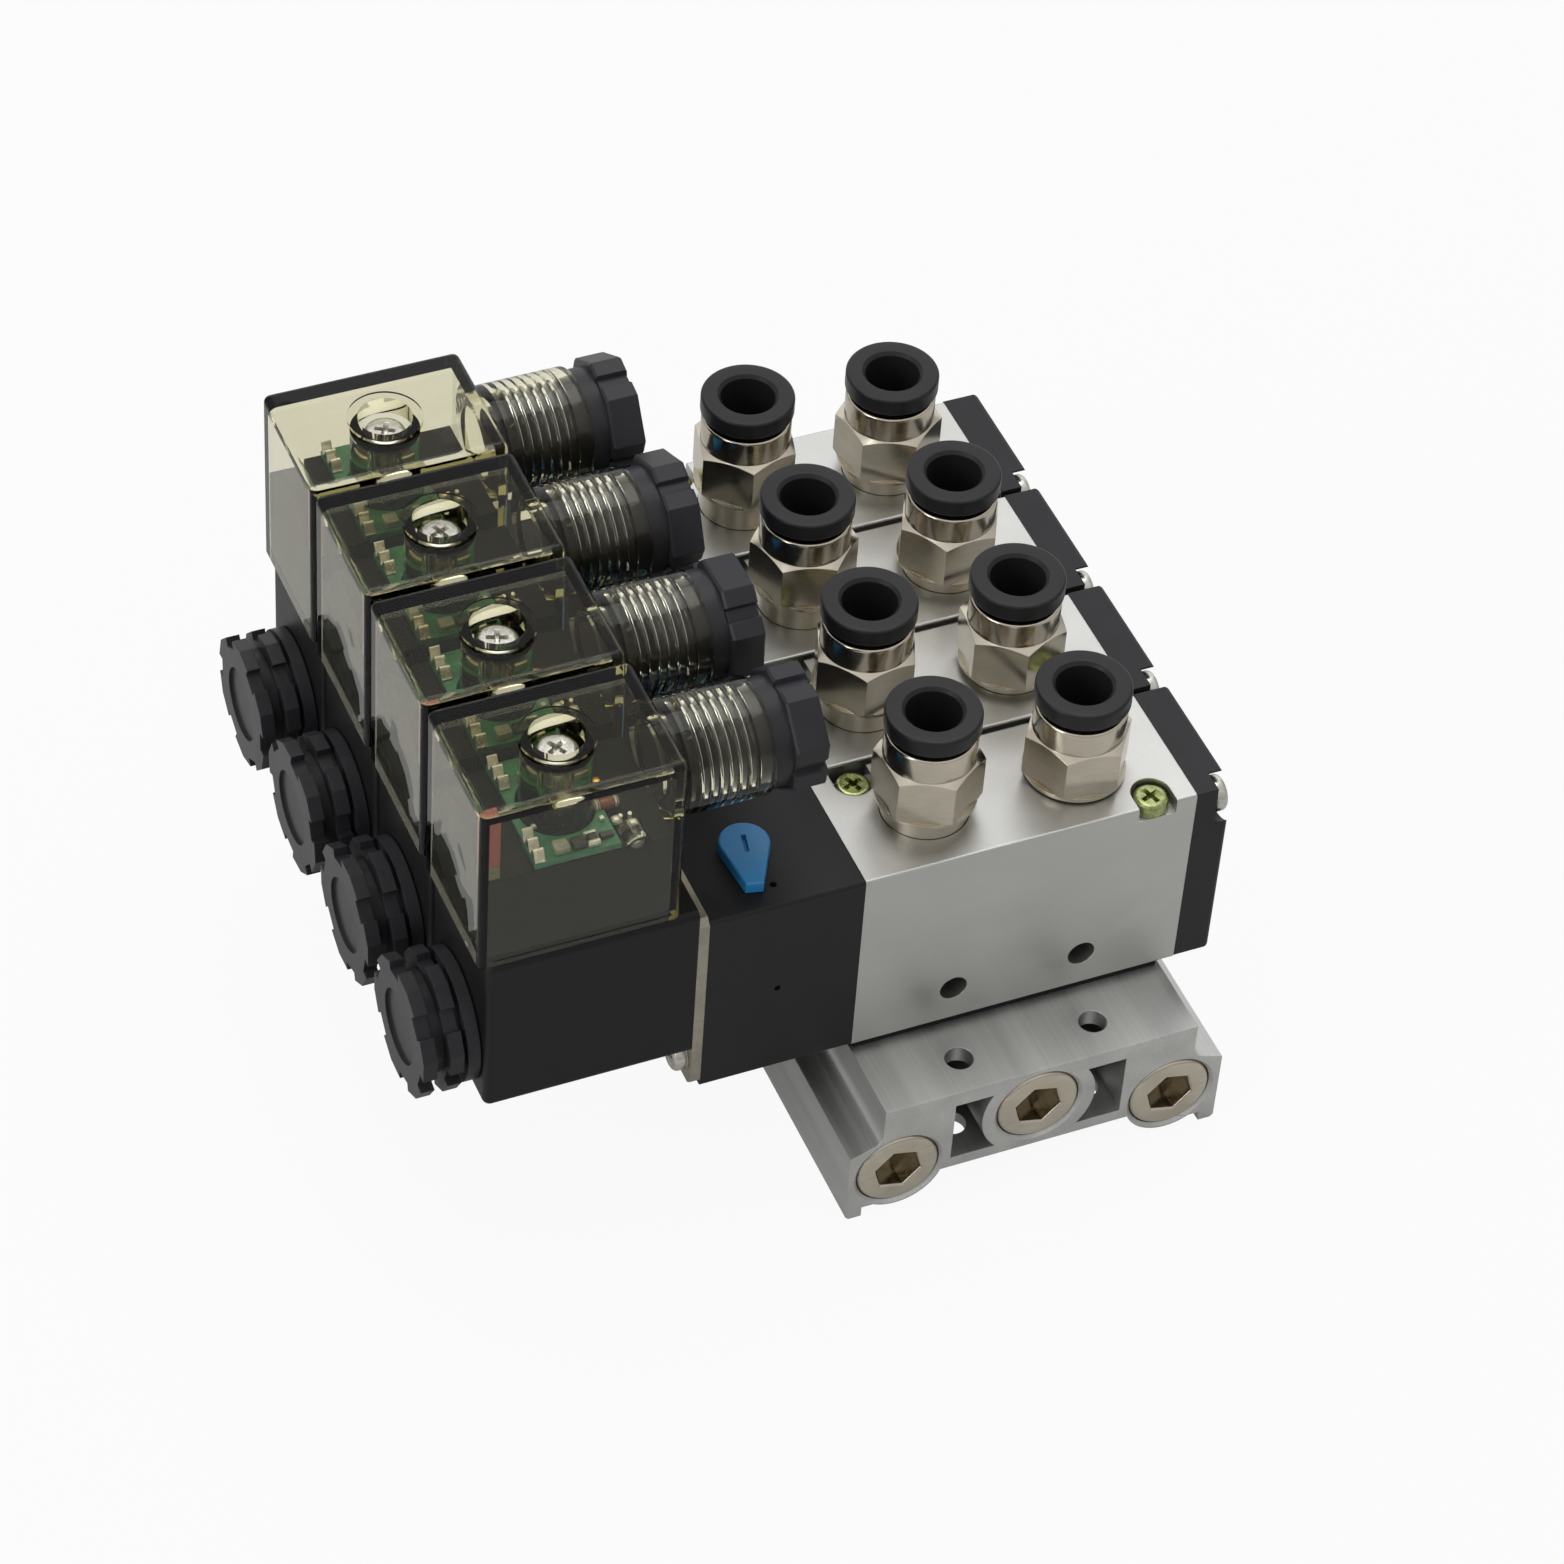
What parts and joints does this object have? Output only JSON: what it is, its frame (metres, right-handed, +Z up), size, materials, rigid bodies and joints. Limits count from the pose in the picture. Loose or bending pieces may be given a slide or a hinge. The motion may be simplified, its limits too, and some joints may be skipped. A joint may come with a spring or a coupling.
{
  "type": "pneumatic valve island",
  "caption": "Bank of solenoid spool valves on a ported manifold, with push-in tube outlets, clear cable connectors and manual override levers.",
  "frame": {"origin": "under the middle of the whole island, on the plane that the manifold's feet stand on", "axes": "+X along the valves towards the end caps, +Y along the row of valves, +Z up"},
  "size_m": [0.124, 0.117, 0.0902],
  "materials": {
    "anodised_aluminium": "brushed",
    "nickel_plate": "polished",
    "black_rubber": "matt",
    "black_plastic": "fine texture",
    "zinc_steel": "satin",
    "dark_grey_plastic": "fine texture",
    "green_board": "glossy",
    "clear_resin": "clear",
    "yellow_zinc": "satin",
    "satin_aluminium": "satin",
    "olive_polycarbonate": "clear",
    "white_plastic": "satin",
    "magnetic_steel": "satin",
    "blue_plastic": "satin",
    "black_acetal": "satin"
  },
  "bodies": {
    "island": {"manifold": "anodised_aluminium", "manifold_plugs": "nickel_plate", "base_gaskets": "black_rubber", "end_caps": "black_plastic", "retaining_plates": "zinc_steel", "coil_nuts": "dark_grey_plastic", "armature_tubes": "zinc_steel", "connector_gaskets": "black_rubber", "connector_screws": "nickel_plate", "terminal_blocks": "black_plastic", "circuit_boards": "green_board", "indicator_lights": "clear_resin", "gland_nuts": "black_plastic", "gland_seals": "black_rubber", "spool_springs": "zinc_steel", "armature_springs": "zinc_steel", "mounting_screws": "yellow_zinc", "end_cap_screws": "nickel_plate", "plate_screws": "nickel_plate", "port_fittings": "nickel_plate", "valve_body_1": "satin_aluminium", "pilot_housing_1": "black_plastic", "coil_1": "black_plastic", "connector_shell_1": "olive_polycarbonate", "valve_body_2": "satin_aluminium", "pilot_housing_2": "black_plastic", "coil_2": "black_plastic", "connector_shell_2": "olive_polycarbonate", "valve_body_3": "satin_aluminium", "pilot_housing_3": "black_plastic", "coil_3": "black_plastic", "connector_shell_3": "olive_polycarbonate", "valve_body_4": "satin_aluminium", "pilot_housing_4": "black_plastic", "coil_4": "black_plastic", "connector_shell_4": "olive_polycarbonate"},
    "spool_set_1": {"spool_1": "satin_aluminium", "pilot_piston_1": "white_plastic"},
    "armature_body_1": {"armature_1": "magnetic_steel"},
    "lever_1": {"override_lever_1": "blue_plastic"},
    "collet_1a": {"release_collet_1a": "black_acetal"},
    "collet_1b": {"release_collet_1b": "black_acetal"},
    "spool_set_2": {"spool_2": "satin_aluminium", "pilot_piston_2": "white_plastic"},
    "armature_body_2": {"armature_2": "magnetic_steel"},
    "lever_2": {"override_lever_2": "blue_plastic"},
    "collet_2a": {"release_collet_2a": "black_acetal"},
    "collet_2b": {"release_collet_2b": "black_acetal"},
    "spool_set_3": {"spool_3": "satin_aluminium", "pilot_piston_3": "white_plastic"},
    "armature_body_3": {"armature_3": "magnetic_steel"},
    "lever_3": {"override_lever_3": "blue_plastic"},
    "collet_3a": {"release_collet_3a": "black_acetal"},
    "collet_3b": {"release_collet_3b": "black_acetal"},
    "spool_set_4": {"spool_4": "satin_aluminium", "pilot_piston_4": "white_plastic"},
    "armature_body_4": {"armature_4": "magnetic_steel"},
    "lever_4": {"override_lever_4": "blue_plastic"},
    "collet_4a": {"release_collet_4a": "black_acetal"},
    "collet_4b": {"release_collet_4b": "black_acetal"}
  },
  "joints": [
    {"name": "spool_slide_1", "type": "slide", "parent": "island", "child": "spool_set_1", "axis": [1, 0, 0], "range_m": [0, 0.0032], "stiffness_N_per_m": 1500, "springref_m": -0.002, "deforming": ["spool_springs"]},
    {"name": "armature_slide_1", "type": "slide", "parent": "island", "child": "armature_body_1", "axis": [-1, 0, 0], "range_m": [0, 0.0012], "stiffness_N_per_m": 400, "springref_m": -0.002, "deforming": ["armature_springs"]},
    {"name": "lever_hinge_1", "type": "hinge", "parent": "island", "child": "lever_1", "pos_m": [-0.0101, -0.0339, 0.0568], "axis": [0, 0, 1], "range_deg": [0, 90]},
    {"name": "collet_slide_1a", "type": "slide", "parent": "island", "child": "collet_1a", "axis": [0, 0, -1], "range_m": [0, 0.0009], "stiffness_N_per_m": 1500, "springref_m": -0.001},
    {"name": "collet_slide_1b", "type": "slide", "parent": "island", "child": "collet_1b", "axis": [0, 0, -1], "range_m": [0, 0.0009], "stiffness_N_per_m": 1500, "springref_m": -0.001},
    {"name": "spool_slide_2", "type": "slide", "parent": "island", "child": "spool_set_2", "axis": [1, 0, 0], "range_m": [0, 0.0032], "stiffness_N_per_m": 1500, "springref_m": -0.002},
    {"name": "armature_slide_2", "type": "slide", "parent": "island", "child": "armature_body_2", "axis": [-1, 0, 0], "range_m": [0, 0.0012], "stiffness_N_per_m": 400, "springref_m": -0.002},
    {"name": "lever_hinge_2", "type": "hinge", "parent": "island", "child": "lever_2", "pos_m": [-0.0101, -0.0109, 0.0568], "axis": [0, 0, 1], "range_deg": [0, 90]},
    {"name": "collet_slide_2a", "type": "slide", "parent": "island", "child": "collet_2a", "axis": [0, 0, -1], "range_m": [0, 0.0009], "stiffness_N_per_m": 1500, "springref_m": -0.001},
    {"name": "collet_slide_2b", "type": "slide", "parent": "island", "child": "collet_2b", "axis": [0, 0, -1], "range_m": [0, 0.0009], "stiffness_N_per_m": 1500, "springref_m": -0.001},
    {"name": "spool_slide_3", "type": "slide", "parent": "island", "child": "spool_set_3", "axis": [1, 0, 0], "range_m": [0, 0.0032], "stiffness_N_per_m": 1500, "springref_m": -0.002},
    {"name": "armature_slide_3", "type": "slide", "parent": "island", "child": "armature_body_3", "axis": [-1, 0, 0], "range_m": [0, 0.0012], "stiffness_N_per_m": 400, "springref_m": -0.002},
    {"name": "lever_hinge_3", "type": "hinge", "parent": "island", "child": "lever_3", "pos_m": [-0.0101, 0.0121, 0.0568], "axis": [0, 0, 1], "range_deg": [0, 90]},
    {"name": "collet_slide_3a", "type": "slide", "parent": "island", "child": "collet_3a", "axis": [0, 0, -1], "range_m": [0, 0.0009], "stiffness_N_per_m": 1500, "springref_m": -0.001},
    {"name": "collet_slide_3b", "type": "slide", "parent": "island", "child": "collet_3b", "axis": [0, 0, -1], "range_m": [0, 0.0009], "stiffness_N_per_m": 1500, "springref_m": -0.001},
    {"name": "spool_slide_4", "type": "slide", "parent": "island", "child": "spool_set_4", "axis": [1, 0, 0], "range_m": [0, 0.0032], "stiffness_N_per_m": 1500, "springref_m": -0.002},
    {"name": "armature_slide_4", "type": "slide", "parent": "island", "child": "armature_body_4", "axis": [-1, 0, 0], "range_m": [0, 0.0012], "stiffness_N_per_m": 400, "springref_m": -0.002},
    {"name": "lever_hinge_4", "type": "hinge", "parent": "island", "child": "lever_4", "pos_m": [-0.0101, 0.0351, 0.0568], "axis": [0, 0, 1], "range_deg": [0, 90]},
    {"name": "collet_slide_4a", "type": "slide", "parent": "island", "child": "collet_4a", "axis": [0, 0, -1], "range_m": [0, 0.0009], "stiffness_N_per_m": 1500, "springref_m": -0.001},
    {"name": "collet_slide_4b", "type": "slide", "parent": "island", "child": "collet_4b", "axis": [0, 0, -1], "range_m": [0, 0.0009], "stiffness_N_per_m": 1500, "springref_m": -0.001}
  ]
}
